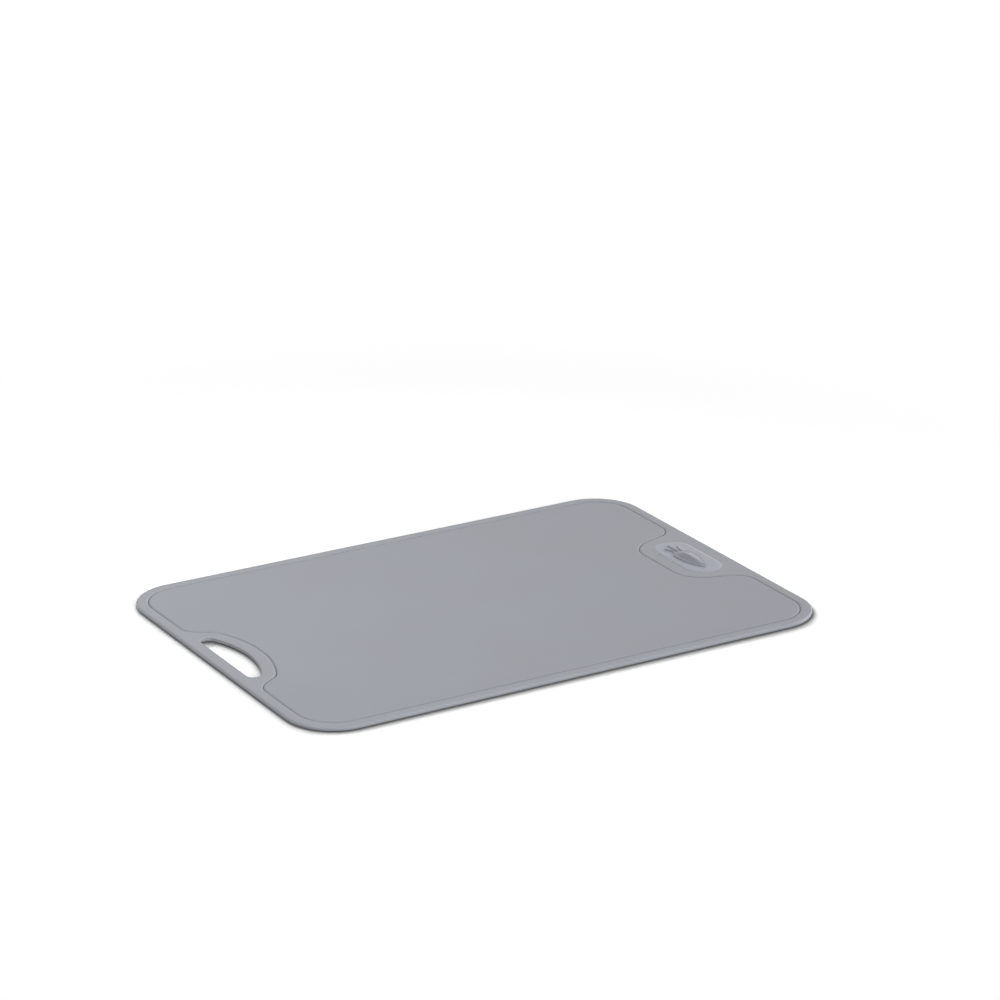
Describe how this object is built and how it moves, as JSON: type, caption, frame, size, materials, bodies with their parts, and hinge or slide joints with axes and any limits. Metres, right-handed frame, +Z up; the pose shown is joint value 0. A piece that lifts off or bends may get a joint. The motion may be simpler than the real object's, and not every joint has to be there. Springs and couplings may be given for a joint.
{
  "type": "flexible cutting mat",
  "caption": "Thin rounded-rectangle flexible cutting mat with a seam groove round its rim, a D-shaped hand hole and a raised badge with a carrot pictogram.",
  "frame": {"origin": "middle of the mat on the surface it lies on, under its sole", "axes": "+X along the length from the hand hole to the badge, +Y across the width towards the leaves of the pictogram, +Z up out of the cutting face"},
  "size_m": [0.35, 0.246, 0.0049],
  "materials": {
    "panel_plastic": "satin moulded, fine grained cutting face",
    "rim_elastomer": "satin moulded thermoplastic elastomer",
    "badge_plastic": "smooth moulded",
    "emblem_plastic": "smooth moulded"
  },
  "bodies": {
    "root": {"cutting_panel": "panel_plastic", "soft_rim": "rim_elastomer", "badge_plate": "badge_plastic", "vegetable_emblem": "emblem_plastic"}
  },
  "joints": []
}
